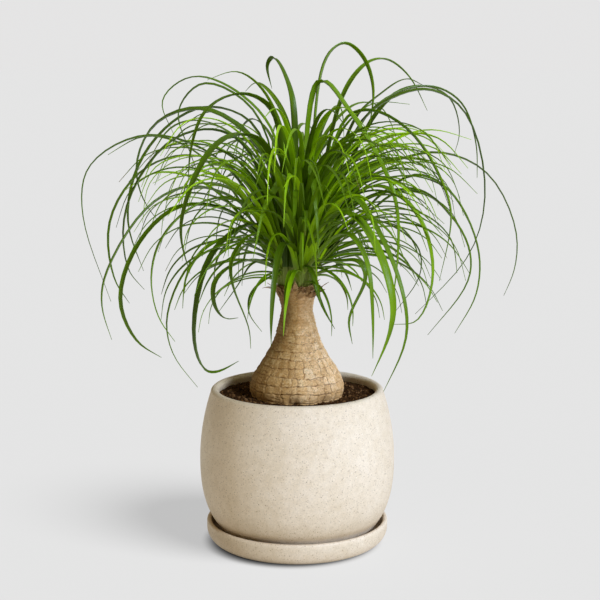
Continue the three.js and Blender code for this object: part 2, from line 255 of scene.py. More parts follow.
floor_bm = bmesh.new()
bmesh.ops.create_grid(floor_bm, x_segments=1, y_segments=1, size=FLOOR_SIZE)
floor = new_object("floor", mesh_of("floor", floor_bm))
paint = Finish("studio floor")
middle = {0: paint.place(), 1: (*PAINTED_SHADOW_MIDDLE, 0)}
away = paint.node("ShaderNodeVectorMath", {"operation": "DISTANCE"}, middle, "Value")
ramp_ends = {0: away, 1: PAINTED_SHADOW_RADII[0], 2: PAINTED_SHADOW_RADII[1]}
outside_painted_shadow = paint.node("ShaderNodeMapRange", {"interpolation_type": "SMOOTHSTEP"}, ramp_ends)
# painted shadow: near the saucer the floor's colour and its glow fade to dark
floor_sockets = {
    "Base Color": paint.blend(outside_painted_shadow, rgb(*FLOOR_PAINTED_SHADOW), rgb(*FLOOR_COLOUR)),
    "Roughness": 1.0,
    "Specular IOR Level": 0.0,
    "Emission Color": paint.blend(outside_painted_shadow, rgb(0, 0, 0), rgb(*FLOOR_GLOW)),
    "Emission Strength": 1.0,
}
floor.data.materials.append(paint.surface(paint.node("ShaderNodeBsdfPrincipled", inputs=floor_sockets)))
print("the floor darkens between", PAINTED_SHADOW_RADII, "m from the middle of the saucer")

# %% Suns
SUN_COLOUR = (0.87, 1.0, 1.25)
FLOOR_SUN_COLOUR = (1.0, 1.0, 1.0)
# A sun's disc is in degrees, its bearing is from +X and negative in front, its height is over level.
FRONT_SUN = {"strength": 2.72, "disc": 16, "bearing": -47, "height": 28}
HIGH_SUN = {"strength": 0.65, "disc": 46, "bearing": 5, "height": 66}
FLOOR_SUN = {"strength": 9.6, "disc": 32, "bearing": -35, "height": 42}


def add_sun(name, colour, on_floor, strength, disc, bearing, height):
    """A sun that falls on the floor alone, or else on all but the floor."""
    lamp = bpy.data.lights.new(name, "SUN")
    lamp.energy, lamp.angle, lamp.color = strength, math.radians(disc), colour
    lamp_object = bpy.data.objects.new(name, lamp)
    a, h = math.radians(bearing), math.radians(height)
    towards = Vector((math.cos(a) * math.cos(h), math.sin(a) * math.cos(h), math.sin(h)))
    lamp_object.rotation_euler = towards.to_track_quat("Z", "Y").to_euler()
    bpy.context.scene.collection.objects.link(lamp_object)
    lit = bpy.data.collections.new(name + "_falls_on")
    lit.objects.link(floor)
    lit.collection_objects[0].light_linking.link_state = "INCLUDE" if on_floor else "EXCLUDE"
    lamp_object.light_linking.receiver_collection = lit
    print(name, "stands", height, "degrees high")
    return lamp_object


add_sun("front_light", SUN_COLOUR, False, **FRONT_SUN)
add_sun("high_light", SUN_COLOUR, False, **HIGH_SUN)
floor_light = add_sun("floor_light", FLOOR_SUN_COLOUR, True, **FLOOR_SUN)
shadow_makers = bpy.data.collections.new("floor_shadow_is_of")
floor_light.light_linking.blocker_collection = shadow_makers

# %% [markdown]
# The world gives the fill. It could be the pale grey that the camera sees, but that would light the
# plant too evenly. So the camera sees the grey, the surfaces get a dimmer and warmer fill, and what
# they mirror is mixed from the two.

# %% Sky
SKY_STRENGTH = 0.25
SKY_COLOUR = (1.0, 0.82, 0.55)  # the fill is warm, as light that comes back from a room
MIRRORED_SHARE = 0.3  # sheen shows the pale room rather than the dimmer fill
BACKDROP_TINT = 0.995  # the grey has a trace less green and blue than red

world = bpy.data.worlds.new("studio")
world.use_nodes = True
bpy.context.scene.world = world
sky = world.node_tree
sky.nodes["Background"].inputs["Color"].default_value = rgb(*SKY_COLOUR)
sky.nodes["Background"].inputs["Strength"].default_value = SKY_STRENGTH
seen = sky.nodes.new("ShaderNodeBackground")
seen.inputs["Color"].default_value = rgb(BACKDROP, BACKDROP * BACKDROP_TINT, BACKDROP * BACKDROP_TINT)
path = sky.nodes.new("ShaderNodeLightPath")
mirrored = sky.nodes.new("ShaderNodeMath")
mirrored.operation, mirrored.use_clamp = "MULTIPLY_ADD", True
mirrored.inputs[1].default_value = MIRRORED_SHARE
either = sky.nodes.new("ShaderNodeMixShader")
sky.links.new(path.outputs["Is Glossy Ray"], mirrored.inputs[0])
sky.links.new(path.outputs["Is Camera Ray"], mirrored.inputs[2])
sky.links.new(mirrored.outputs[0], either.inputs[0])
sky.links.new(sky.nodes["Background"].outputs[0], either.inputs[1])
sky.links.new(seen.outputs[0], either.inputs[2])
sky.links.new(either.outputs[0], sky.nodes["World Output"].inputs["Surface"])
bpy.context.scene.view_settings.view_transform = "Standard"
print("three soft suns, and a sky of", SKY_STRENGTH)

# %% [markdown]
# The camera stands where the rim of the pot and the rim of the saucer are seen as the same flat
# ellipses as in the photograph: the rim is 13 degrees below it and the saucer 18. That is a short
# telephoto lens, a good metre away, looking slightly down.

# %% Camera
LENS_MM, SENSOR_MM = 85, 36
CAMERA_PLACE = (2.5 * MM, -1207.8 * MM, 418.5 * MM)
CAMERA_PITCH = 9.6  # degrees below level

camera = bpy.data.cameras.new("camera")
camera.lens, camera.sensor_width = LENS_MM, SENSOR_MM
camera_object = bpy.data.objects.new("camera", camera)
camera_object.location = CAMERA_PLACE
camera_object.rotation_euler = (math.radians(90 - CAMERA_PITCH), 0, 0)
bpy.context.scene.collection.objects.link(camera_object)
bpy.context.scene.camera = camera_object
print("camera at", [round(v, 3) for v in CAMERA_PLACE])

# %% [markdown]
# ## Thrown stoneware
#
# Pot and saucer are bodies of revolution. A cylinder could be scaled ring by ring, but a potter's way
# is shorter: draw half of the section as a chain of edges, and spin it about the axis. The outline
# is worked out from the same few sizes as the solid, only with many more points.

# %% Spinning a section
TURNED_STEPS = 168


def spun_mesh(name, profile, steps):
    """Spins a profile of (radius, height) in millimetres to a closed, smooth mesh."""
    bm = bmesh.new()
    verts = [bm.verts.new((radius * MM, 0, height * MM)) for radius, height in profile]
    edges = [bm.edges.new(pair) for pair in zip(verts, verts[1:])]
    axis = {"cent": (0, 0, 0), "axis": (0, 0, 1), "dvec": (0, 0, 0)}
    bmesh.ops.spin(bm, geom=verts + edges, angle=math.tau, steps=steps, use_merge=True, **axis)
    bmesh.ops.remove_doubles(bm, verts=bm.verts[:], dist=0.001 * MM)
    bmesh.ops.recalc_face_normals(bm, faces=bm.faces[:])
    for face in bm.faces:
        face.smooth = True
    print(name, "has", len(bm.faces), "faces")
    return mesh_of(name, bm)


def spun(name, profile, steps=TURNED_STEPS):
    return new_object(name, spun_mesh(name, profile, steps))


def dressed(piece, node, material):
    """Hangs a piece on the root body, hides the node's solid, and gives the piece its finish."""
    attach(piece, "root")
    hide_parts(node)
    piece.data.materials.append(material)
    return piece


# %% [markdown]
# The clay is sandy and matt, with soft clouds and grains of several sizes. An image could be wrapped
# round it, but it would stretch at the foot and show a seam, and patterns in space do neither. Each
# size of grain is a pattern of cells in which only some cells get a dot. Two ramps then paint shade
# into the clay where the light alone would leave it too even: one by height, with painted shade on the
# saucer's side and the pot's foot and a light lip as a painted highlight, and one from left to right,
# with painted shade on the pot's left flank.

# %% The stoneware finish
def stoneware_finish():
    """Matt sandy clay: a warm body with soft clouds, fine dark and pale grains, and a dry skin."""
    clay = Finish("speckled stoneware")
    place = clay.place()
    clouds = clay.noise(place, 26, 3) * 0.45 + clay.noise(place, 150, 4, 0.65) * 0.55
    grain = clay.noise(place, 900, 2, 0.6)
    body = clay.ramp(clouds, [(0.36, rgb(0.76, 0.64, 0.47)), (0.62, rgb(0.86, 0.75, 0.595))])
    body = clay.blend(0.35, body, clay.ramp(grain, [(0.3, 0.55), (0.7, 1.0)]), "MULTIPLY")
    specks = [
        (150, 0.060, rgb(0.15, 0.09, 0.05), 0.38, 0.80),
        (310, 0.120, rgb(0.24, 0.16, 0.10), 0.45, 0.70),
        (470, 0.190, rgb(0.38, 0.27, 0.17), 0.60, 0.60),
        (330, 0.150, rgb(0.95, 0.90, 0.82), 0.20, 0.50),
    ]
    colour = body
    for scale, size, speck_colour, share, strength in specks:
        settings = {"voronoi_dimensions": "3D", "feature": "F1"}
        sockets = {"Vector": place, "Scale": scale, "Randomness": 1.0}
        distance = clay.node("ShaderNodeTexVoronoi", settings, sockets, "Distance")
        chosen = clay.node("ShaderNodeTexVoronoi", settings, sockets, "Color")
        picked = clay.ramp(chosen, [(share, 1.0), (share + 0.04, 0.0)])
        dot = clay.ramp(distance, [(size * 0.7, 1.0), (size * 1.5, 0.0)])
        colour = clay.blend(picked * dot * strength, colour, speck_colour)
    height = clay.node("ShaderNodeSeparateXYZ", inputs={0: place}, output="Z")
    # painted shade and highlight by height: darker saucer side and pot foot, a light saucer lip
    low = clay.ramp(height, [
        (0.0, rgb(0.84, 0.80, 0.75)), (0.0165, rgb(0.88, 0.86, 0.82)), (0.0196, rgb(1.0, 0.99, 0.98)),
        (0.0206, rgb(1.0, 0.99, 0.98)), (0.0212, rgb(0.62, 0.54, 0.41)), (0.0245, rgb(0.76, 0.715, 0.64)),
        (0.042, rgb(0.93, 0.915, 0.89)), (0.09, 1.0),
    ])  # fmt: skip
    colour = clay.blend(1.0, colour, low, "MULTIPLY")
    side = clay.node("ShaderNodeSeparateXYZ", inputs={0: place}, output="X") * 5.5 + 0.5
    # painted shade from left to right: a darker, warmer band on the pot's shaded left flank
    painted_flank_shade = clay.ramp(side, [
        (0.04, rgb(1.0, 1.0, 0.95)), (0.11, rgb(0.97, 0.93, 0.85)), (0.2, rgb(0.925, 0.865, 0.75)),
        (0.33, rgb(0.98, 0.95, 0.89)), (0.47, rgb(1.0, 0.98, 0.95)), (0.8, 1.0),
    ])  # fmt: skip
    colour = clay.blend(1.0, colour, painted_flank_shade, "MULTIPLY")
    dry = clay.bump(grain * 0.6 + clay.noise(place, 320, 3) * 0.6, 0.35 * MM, 0.5)
    sockets = {"Base Color": colour, "Roughness": 0.66, "Specular IOR Level": 0.4, "Normal": dry}
    return clay.surface(clay.node("ShaderNodeBsdfPrincipled", inputs=sockets))


stoneware = stoneware_finish()
print("stoneware is ready")

# %% [markdown]
# The saucer is a shallow dish. Its lower edge is a quarter of an ellipse that rises from the flat
# underside, its lip a half circle, and a fillet joins wall and floor inside.

# %% Saucer
SAUCER_FLOOR = 5
SAUCER_RADIUS = 79.7
SAUCER_HEIGHT = 20.5
SAUCER_WALL = 4
SAUCER_BASE_RADIUS = 66
SAUCER_EDGE_RISE = 13
SAUCER_FILLET = 4


def saucer_profile():
    lip = SAUCER_WALL / 2
    reach = SAUCER_RADIUS - SAUCER_BASE_RADIUS
    corner = (SAUCER_RADIUS - SAUCER_WALL - SAUCER_FILLET, SAUCER_FLOOR + SAUCER_FILLET)
    return [
        (0, 0),
        (SAUCER_BASE_RADIUS * 0.9, 0),
        *arc((SAUCER_BASE_RADIUS, SAUCER_EDGE_RISE), (reach, SAUCER_EDGE_RISE), -90, 0, 16),
        *arc((SAUCER_RADIUS - lip, SAUCER_HEIGHT - lip), (lip, lip), 0, 180, 10),
        *arc(corner, (SAUCER_FILLET, SAUCER_FILLET), 0, -90, 8),
        (40, SAUCER_FLOOR),
        (0, SAUCER_FLOOR),
    ]


saucer = dressed(spun("saucer_dish", saucer_profile()), "saucer", stoneware)
shadow_makers.objects.link(saucer)

# %% [markdown]
# The pot is widest near the middle of its height. Above this waist its skin is a parabola drawn in to
# the rim. Below it is a squarish ellipse that tucks under to the foot. The inside follows the outside
# at the thickness of the wall, and the rim between them is a half circle.

# %% Pot
POT_WALL = 7
POT_FLOOR = 8
POT_WAIST_RADIUS, POT_WAIST_Z = 85.2, 74
POT_RIM_RADIUS, POT_TOP = 75.4, 137.5
POT_LIP_Z = POT_TOP - POT_WALL / 2
POT_FOOT_Z = SAUCER_FLOOR + 0.3
POT_FLOOR_Z = POT_FOOT_Z + POT_FLOOR
POT_HOLE_RADIUS = 6.5
BELLY_CORE, BELLY_DEPTH, BELLY_FULLNESS = 40, 70, 2.35


def pot_radius(z, inset=0.0):
    """Radius of the pot's outer skin, or of a skin that lies some way inside it, at a height."""
    waist = POT_WAIST_RADIUS - inset
    if z > POT_WAIST_Z:
        rise = (z - POT_WAIST_Z) / (POT_LIP_Z - POT_WAIST_Z)
        return waist - (POT_WAIST_RADIUS - POT_RIM_RADIUS) * rise**2
    core = BELLY_CORE - inset
    depth = min(1, (POT_WAIST_Z - z) / (BELLY_DEPTH - inset))
    return core + (waist - core) * (1 - depth**BELLY_FULLNESS) ** (1 / BELLY_FULLNESS)


def pot_profile():
    half = POT_WALL / 2
    outside = crowded(POT_FOOT_Z, POT_WAIST_Z, 34, 1.6) + crowded(POT_WAIST_Z, POT_LIP_Z, 20)[1:]
    inside = crowded(POT_FLOOR_Z, POT_WAIST_Z, 20, 1.6) + crowded(POT_WAIST_Z, POT_LIP_Z, 12)[1:]
    return [
        (POT_HOLE_RADIUS, POT_FOOT_Z),
        (24, POT_FOOT_Z),
        *[(pot_radius(z), z) for z in outside],
        *arc((POT_RIM_RADIUS - half, POT_LIP_Z), (half, half), 0, 180, 14)[1:-1],
        *[(pot_radius(z, POT_WALL), z) for z in reversed(inside)],
        (20, POT_FLOOR_Z),
        (POT_HOLE_RADIUS, POT_FLOOR_Z),
        (POT_HOLE_RADIUS, POT_FOOT_Z),
    ]


pot = dressed(spun("pot_body", pot_profile()), "pot", stoneware)
shadow_makers.objects.link(pot)

# %% [markdown]
# ## The trunk
#
# The foot of a ponytail palm stores water, and as it swells, its bark splits into rings and the
# rings into tiles. Sculpting that by hand would not follow the rings. A fine flat net is rolled up to
# the trunk's outline instead, which is quicker than spinning one so fine, and pushed in and out by
# formula: for every point of the net, the formula asks how far it is from the nearest ring and the
# nearest crack. The same answer is kept as an attribute for the colours.

# %% Trunk outline
TRUNK_BOTTOM, TRUNK_ROUND_Z, CROWN_Z = 104, 112, 228
TRUNK_OUTLINE = [
    (28, TRUNK_BOTTOM), (34.5, TRUNK_ROUND_Z), (36.6, 122), (39.2, 131), (41.2, 138),
    (38.9, 147), (33.6, 156), (27.9, 165), (23, 174), (19.2, 183),
    (15.9, 195), (13.5, 207), (15.2, 216), (17.6, 224), (17, CROWN_Z),
]  # fmt: skip
TRUNK_COLUMNS = 340
TRUNK_ROW = 0.47  # height of one row of the net
BURIED_ROWS = (108, TRUNK_ROUND_Z, 118, 123)  # the few rows that the soil hides
NET_FROM = 126

trunk_line = smooth_line(TRUNK_OUTLINE, np.linspace(0, 1, 400))


def trunk_radius(z):
    return np.interp(z, trunk_line[:, 1], trunk_line[:, 0])


print("the foot is", round(2 * trunk_line[:, 0].max(), 1), "mm thick")

# %% Where rings and cracks run
BARK_FROM, RING_TOP = 132, 202
RING_PITCH = 6.8
FINE_RING_SHARES = (0.3, 0.62)  # how far up a ring its two fine lines run
RINGS_PER_TIER = 2  # a crack runs on through the rings of its tier
TILE_WIDTH = 7.4

bark_chance = make_random(SEED)


def waver(angle, sizes):
    """A line that wavers round the trunk and closes on itself: sines of whole numbers of waves."""
    return sum(size * np.sin(waves * angle + math.tau * bark_chance()) for waves, size in sizes)


def groove(distance, width):
    """1 in the middle of a groove, fading to 0 at its sides."""
    return np.exp(-((distance / width) ** 2))


def cleft(distance, shoulder, width):
    """A narrow groove between rounded shoulders."""
    return 0.25 * groove(distance, shoulder) + 0.75 * groove(distance, width)


def ring_pattern(angle, z):
    """For every point: depth of the rings, the number of its ring, and how far up the ring it is."""
    depth, ring, climb = np.zeros_like(z), np.zeros(len(z), int), np.full(len(z), 0.5)
    for height in np.arange(BARK_FROM, RING_TOP, RING_PITCH):
        line = height + waver(angle, [(2, 0.5), (5, 0.3), (9, 0.2), (23, 0.16), (41, 0.14), (67, 0.1)])
        force = np.clip(0.75 + waver(angle, [(3, 0.2), (7, 0.25), (19, 0.25)]), 0.15, 1)
        depth = np.maximum(depth, force * cleft(z - line, 1.3, 0.42))
        ring += z >= line
        climb = np.where(z >= line, np.clip((z - line) / RING_PITCH, 0, 1), climb)
        for share in FINE_RING_SHARES:
            above = RING_PITCH * (share + 0.1 * bark_chance())
            fine_line = line + above + waver(angle, [(4, 0.4), (13, 0.3)])
            fine_force = np.clip(waver(angle, [(4, 0.4), (9, 0.4), (17, 0.3)]), 0, 0.6)
            depth = np.maximum(depth, fine_force * groove(z - fine_line, 0.4))
    return depth, ring, climb


def crack_pattern(angle, z, ring):
    """For every point: depth of the upright cracks, and the tone of the tile it lies on."""
    depth, tone = np.zeros_like(z), np.full(len(z), 0.5)
    radius = trunk_radius(z)
    for tier in range(ring.max() // RINGS_PER_TIER + 1):
        here = ring // RINGS_PER_TIER == tier
        if not here.any():
            continue
        cracks = max(6, round(math.tau * radius[here].mean() / TILE_WIDTH))
        jitter = np.array([0.5 * (bark_chance() - 0.5) for _ in range(cracks)])
        force = np.array([mix(0.45, 1.0, bark_chance()) for _ in range(cracks)])
        lean = np.array([0.10 * (bark_chance() - 0.5) for _ in range(cracks)])
        tones = np.array([bark_chance() for _ in range(cracks * RINGS_PER_TIER)])
        turn = angle[here] / math.tau * cracks
        rise = z[here] - z[here].mean()
        wobble = 0.06 * np.sin(rise * 0.9 + angle[here] * 5) + 0.03 * np.sin(rise * 2.3 + angle[here] * 11)
        passed = np.zeros(here.sum())
        deepest = np.zeros(here.sum())
        for step in (-1, 0, 1, 2):
            crack = (np.floor(turn).astype(int) + step) % cracks
            place = np.floor(turn) + step + jitter[crack] + lean[crack] * rise * 0.5 + wobble
            distance = (turn - place) / cracks * math.tau * radius[here]
            deepest = np.maximum(deepest, force[crack] * cleft(distance, 1.2, 0.45))
            passed += distance >= 0
        tile = (np.floor(turn) + passed).astype(int) % cracks
        depth[here] = deepest
        tone[here] = tones[(tile + cracks * (ring[here] % RINGS_PER_TIER)) % len(tones)]
    return depth, tone


def noise_field(points, size, seed):
    """Smooth chance from -1 to 1 at every point, in blobs of about the size given."""
    shift = Vector((seed * 17.3, seed * 5.1, seed * 11.7))
    return np.array([noise.noise(Vector(point) / size + shift) for point in points])


# %% Trunk
RING_DEPTH, CRACK_DEPTH = 0.9, 0.7
TOE_TOP = 146  # the foot is folded into toes below this height
TOE_DEPTH = 2.0
SCAR_PITCH = 2.7  # fine rings on the neck, where leaves once sat
PAINTED_LIGHT_BEARING = -20  # painted light: the bark is painted paler on the side towards this bearing, and darker away from it
# The bark changes from foot to neck. Of each pair, fade gives 0 at the first height, 1 at the second.
BARK_STARTS, BARK_ENDS = (126, 130), (202, 186)
CRACKS_EASE, RINGS_EASE = (160, 182), (172, 188)
SCARS_START, SLIM, NECK = (164, 182), (165, 200), (186, 200)
BARK_ATTRIBUTES = ("seam", "tile", "toe", "fold", "pale")


def fade(z, start, end):
    """0 at a first height, rising or falling to 1 at a second, and flat beyond them."""
    return np.clip((z - start) / (end - start), 0, 1)


def rolled_net(profile, columns):
    """A closed body of revolution, rolled from a flat grid along a profile from axis to axis."""
    bm = bmesh.new()
    bmesh.ops.create_grid(bm, x_segments=columns, y_segments=len(profile) - 1, size=0.5)
    for vert in bm.verts:
        angle = math.tau * round((vert.co.x + 0.5) * columns) / columns
        radius, height = profile[round((vert.co.y + 0.5) * (len(profile) - 1))]
        vert.co = Vector((radius * math.cos(angle), radius * math.sin(angle), height)) * MM
    bmesh.ops.remove_doubles(bm, verts=bm.verts[:], dist=0.001 * MM)
    bmesh.ops.recalc_face_normals(bm, faces=bm.faces[:])
    for face in bm.faces:
        face.smooth = True
    return mesh_of("trunk_bark", bm)


def trunk_body():
    rows = [TRUNK_BOTTOM, *BURIED_ROWS, *np.arange(NET_FROM, CROWN_Z, TRUNK_ROW)]
    profile = [(0, TRUNK_BOTTOM), *((float(trunk_radius(z)), float(z)) for z in rows), (0, CROWN_Z)]
    mesh = rolled_net(profile, TRUNK_COLUMNS)
    spots = np.empty(len(mesh.vertices) * 3)
    mesh.vertices.foreach_get("co", spots)
    spots = spots.reshape(-1, 3) / MM
    angle = np.arctan2(spots[:, 1], spots[:, 0])
    z = spots[:, 2]
    radius = np.hypot(spots[:, 0], spots[:, 1])

    rings, ring, climb = ring_pattern(angle, z)
    cracks, tone = crack_pattern(angle, z, ring)
    cracks *= 1 - 0.6 * fade(z, *CRACKS_EASE)
    rings *= 1 - 0.35 * fade(z, *RINGS_EASE)
    barked = fade(z, *BARK_STARTS) * fade(z, *BARK_ENDS)
    neck = fade(z, *NECK)
    toes = fade(z, TOE_TOP, BARK_FROM) ** 1.5
    toe_line = np.clip(waver(angle, [(7, 0.5), (11, 0.5), (17, 0.35)]), -0.75, 0.35)
    scar = np.sin(math.tau * z / SCAR_PITCH + waver(angle, [(3, 0.8), (8, 0.7), (17, 0.6)]))
    scarred = fade(z, *SCARS_START)
    wrinkle = noise_field(np.column_stack([spots[:, 0] / 2.6, spots[:, 1] / 2.6, z / 1.1]), 1.0, 1)
    lump = noise_field(spots, 7.0, 2)
    pebble = noise_field(spots, 1.9, 3)
    fold = np.clip(0.5 + 0.5 * wrinkle + 0.45 * pebble + 0.2 * scarred * scar, 0, 1)
    relief = (
        -barked * (RING_DEPTH * rings + CRACK_DEPTH * cracks)
        + barked * (0.45 * (tone - 0.5) + 0.45 * (0.5 - climb))
        + TOE_DEPTH * toes * toe_line
        + 0.16 * scarred * scar
        + 0.13 * wrinkle
        + 0.6 * lump
        + (0.3 + 0.16 * neck) * pebble
    )
    relief *= fade(z, TRUNK_ROUND_Z, TRUNK_ROUND_Z + 10) * fade(z, CROWN_Z, CROWN_Z - 2)
    spots[:, :2] *= (1 + relief / np.maximum(radius, 1))[:, None]
    mesh.vertices.foreach_set("co", (spots * MM).ravel())
    seam = np.clip(barked * np.maximum(rings, cracks), 0, 1)
    # toe is deep in the folds between the toes, where the finish paints shade
    toe = -toes * np.minimum(toe_line, 0)
    slim = fade(z, *SLIM)
    # painted light and shade: pale is high on the side towards the light, low away from it and on the neck
    sunny = np.cos(angle - math.radians(PAINTED_LIGHT_BEARING) * (1 - 0.6 * slim))
    pale = 0.5 - 0.12 * slim + (0.5 + 0.6 * slim) * sunny
    for name, values in zip(BARK_ATTRIBUTES, (seam, tone, toe, fold, pale)):
        mesh.attributes.new(name, "FLOAT", "POINT").data.foreach_set("value", values)
    print("the trunk has", len(mesh.polygons), "faces")
    return new_object("trunk_bark", mesh)


# %% [markdown]
# Old bark is tan cork, with a tone of its own on every tile, dark seams, pale scuffs and a ruddy neck.
# Painted shade darkens its side away from the light, the folds between its toes and the neck's top.
# It could be painted by hand, but the seams would drift off the grooves. So the mesh hands its own
# answers to the finish as attributes, and noise adds only what is finer than the mesh.

# %% The bark finish
def bark_finish():
    """Corky tan bark: tiles of slightly different tone, dark seams, pale scuffs, a ruddy neck, and painted
    shade away from the light, in the toes' folds and on the neck.
    """
    cork = Finish("cracked bark")
    place = cork.place()
    height = cork.node("ShaderNodeSeparateXYZ", inputs={0: place}, output="Z")
    seam, tile, toe, fold, pale = (cork.attribute(name) for name in BARK_ATTRIBUTES)
    patches = cork.noise(place, 70, 4, 0.6)
    flecks = cork.noise(place, 900, 3, 0.65)
    body = cork.ramp(patches * 0.45 + tile * 0.3 + fold * 0.25, [
        (0.25, rgb(0.60, 0.37, 0.17)), (0.5, rgb(0.88, 0.60, 0.32)), (0.75, rgb(0.97, 0.75, 0.49)),
    ])  # fmt: skip
    body = cork.blend(0.72, body, cork.ramp(flecks, [(0.3, 0.45), (0.55, 1.0)]), "MULTIPLY")
    scuff = cork.ramp(cork.noise(place, 300, 3, 0.7), [(0.52, 0.0), (0.68, 1.0)])
    body = cork.blend(scuff * 0.35, body, rgb(0.97, 0.80, 0.57))
    flaked = cork.ramp(cork.noise(place, 240, 4, 0.75), [(0.50, 0.0), (0.60, 1.0)])
    body = cork.blend(flaked * 0.62, body, rgb(0.56, 0.32, 0.12))
    # the neck is ruddy, and the same ramp paints shade on its top, under the leaves
    ruddy_and_shaded_neck = cork.ramp(height, [(0.190, 0.0), (0.226, 1.0)])
    body = cork.blend(ruddy_and_shaded_neck * 0.38, body, rgb(0.42, 0.22, 0.08))
    # painted shade: the bark is darker on the side away from the light, by the pale attribute
    painted_side_shade = cork.ramp(pale, [
        (0.0, rgb(0.36, 0.31, 0.20)), (0.15, rgb(0.50, 0.44, 0.29)), (0.34, rgb(0.61, 0.54, 0.37)),
        (0.55, rgb(0.67, 0.60, 0.43)), (0.72, rgb(0.90, 0.86, 0.75)), (0.86, 1.0),
    ])  # fmt: skip
    body = cork.blend(1.0, body, painted_side_shade, "MULTIPLY")
    damp = cork.ramp(height + patches * 0.012, [(0.136, 1.0), (0.152, 0.0)])
    body = cork.blend(damp * 0.75, body, rgb(0.56, 0.33, 0.12))
    pits = cork.ramp(cork.noise(place, 620, 2, 0.5), [(0.32, 1.0), (0.40, 0.0)])
    # seams and pits are the bark's own dark; toe adds painted shade in the folds between the toes
    dark = cork.ramp(seam * 0.9 + toe * 0.4 + pits * 0.6, [(0.25, 0.0), (0.9, 0.8)])
    body = cork.blend(dark, body, rgb(0.15, 0.070, 0.024))
    rough = cork.bump(flecks * 0.7 + cork.noise(place, 2200, 2) * 0.3, 0.5 * MM, 0.55)
    sockets = {"Base Color": body, "Roughness": 0.82, "Specular IOR Level": 0.12, "Normal": rough}
    return cork.surface(cork.node("ShaderNodeBsdfPrincipled", inputs=sockets))


dressed(trunk_body(), "trunk", bark_finish())

# %% [markdown]
# ## Potting soil
#
# Soil is a bumpy skin with loose crumbs on it. The skin is spun, and raised here and there by smooth
# chance. A crumb is an icosphere of twenty faces, squashed and turned by chance, and there are many,
# so each has to stay as plain as that. Each keeps a tone of its own, which the finish turns into a
# colour from nearly black to a dusty brown.

# %% Soil
SOIL_TOP = 130.5
SOIL_HOLE_RADIUS = 35
SOIL_DEPTH = 9  # below this the pot hides it
SOIL_GAP = 0.35  # the air between the soil and the pot's wall
SOIL_RINGS, SOIL_STEPS = 42, 190
BED_TONE = 0.12  # the skin between the crumbs is darker than most of them
CRUMBS = 1500
CRUMB_SIZES = (0.5, 1.5)

soil_chance = make_random(SEED + 1)


def soil_height(x, y):
    """Height of the bumpy top at a place, in millimetres."""
    heap = 0.9 * noise.noise(Vector((x, y, 3)) / 9) + 0.55 * noise.noise(Vector((x, y, 8)) / 2.6)
    return SOIL_TOP + heap - 0.3


def crumb_cloud(outer):
    """Places and tones of the points of all crumbs, from one icosphere's points."""
    bm = bmesh.new()
    bmesh.ops.create_icosphere(bm, subdivisions=1, radius=1)
    crumb = mesh_of("crumb", bm)
    ball = np.array([vert.co[:] for vert in crumb.vertices])
    places, tones = [], []
    for _ in range(CRUMBS):
        reach = math.sqrt(mix(SOIL_HOLE_RADIUS**2, (outer - 1.5) ** 2, soil_chance()))
        bearing, turn = math.tau * soil_chance(), math.tau * soil_chance()
        x, y = reach * math.cos(bearing), reach * math.sin(bearing)
        size = mix(*CRUMB_SIZES, soil_chance() ** 2)
        stretch = [mix(0.65, 1.35, soil_chance()) for _ in range(3)]
        bumps = np.array([[mix(0.75, 1.2, soil_chance())] for _ in ball])
        grain = ball * bumps * stretch * size
        across, up = grain[:, 0] * math.cos(turn) - grain[:, 1] * math.sin(turn), grain[:, 2]
        along = grain[:, 0] * math.sin(turn) + grain[:, 1] * math.cos(turn)
        places.append(np.column_stack([across + x, along + y, up + soil_height(x, y) + 0.3 * size]))
        tone = soil_chance() ** 1.7 if soil_chance() > 0.03 else 1.0
        tones.append(np.full(len(ball), tone))
    return crumb, np.vstack(places), np.concatenate(tones)


def soil_body():
    outer = float(pot_radius(SOIL_TOP, POT_WALL)) - SOIL_GAP
    tops = [(mix(outer, SOIL_HOLE_RADIUS, i / SOIL_RINGS), SOIL_TOP) for i in range(SOIL_RINGS + 1)]
    low = SOIL_TOP - SOIL_DEPTH
    profile = [(SOIL_HOLE_RADIUS, low), (outer, low), *tops, (SOIL_HOLE_RADIUS, low)]
    bm = bmesh.new()
    bm.from_mesh(spun_mesh("soil_bed", profile, SOIL_STEPS))
    bed = len(bm.verts)
    crumb, crumb_places, crumb_tones = crumb_cloud(outer)
    for _ in range(CRUMBS):
        bm.from_mesh(crumb)
    mesh = mesh_of("soil_bed", bm)
    spots = np.empty(len(mesh.vertices) * 3)
    mesh.vertices.foreach_get("co", spots)
    spots = spots.reshape(-1, 3) / MM
    top = np.flatnonzero(spots[:bed, 2] > SOIL_TOP - 0.1)
    spots[top, 2] = [soil_height(x, y) for x, y, _ in spots[top]]
    spots[bed:] = crumb_places
    mesh.vertices.foreach_set("co", (spots * MM).ravel())
    tones = np.concatenate([np.full(bed, BED_TONE), crumb_tones])
    mesh.attributes.new("tone", "FLOAT", "POINT").data.foreach_set("value", tones)
    print("soil with", CRUMBS, "crumbs has", len(mesh.polygons), "faces")
    return new_object("soil_bed", mesh)


def soil_finish():
    """Dark peat: nearly black between the crumbs, brown on them, with a few pale grains."""
    peat = Finish("potting soil")
    place = peat.place()
    tone = peat.attribute("tone") * 0.75 + peat.noise(place, 380, 3, 0.7) * 0.35
    colour = peat.ramp(tone, [
        (0.15, rgb(0.020, 0.008, 0.003)), (0.42, rgb(0.080, 0.036, 0.012)),
        (0.75, rgb(0.160, 0.080, 0.030)), (0.95, rgb(0.24, 0.135, 0.060)),
    ])  # fmt: skip
    rough = peat.bump(peat.noise(place, 900, 4, 0.7), 0.8 * MM, 0.8)
    sockets = {"Base Color": colour, "Roughness": 0.95, "Specular IOR Level": 0.04, "Normal": rough}
    return peat.surface(peat.node("ShaderNodeBsdfPrincipled", inputs=sockets))


dressed(soil_body(), "soil", soil_finish())

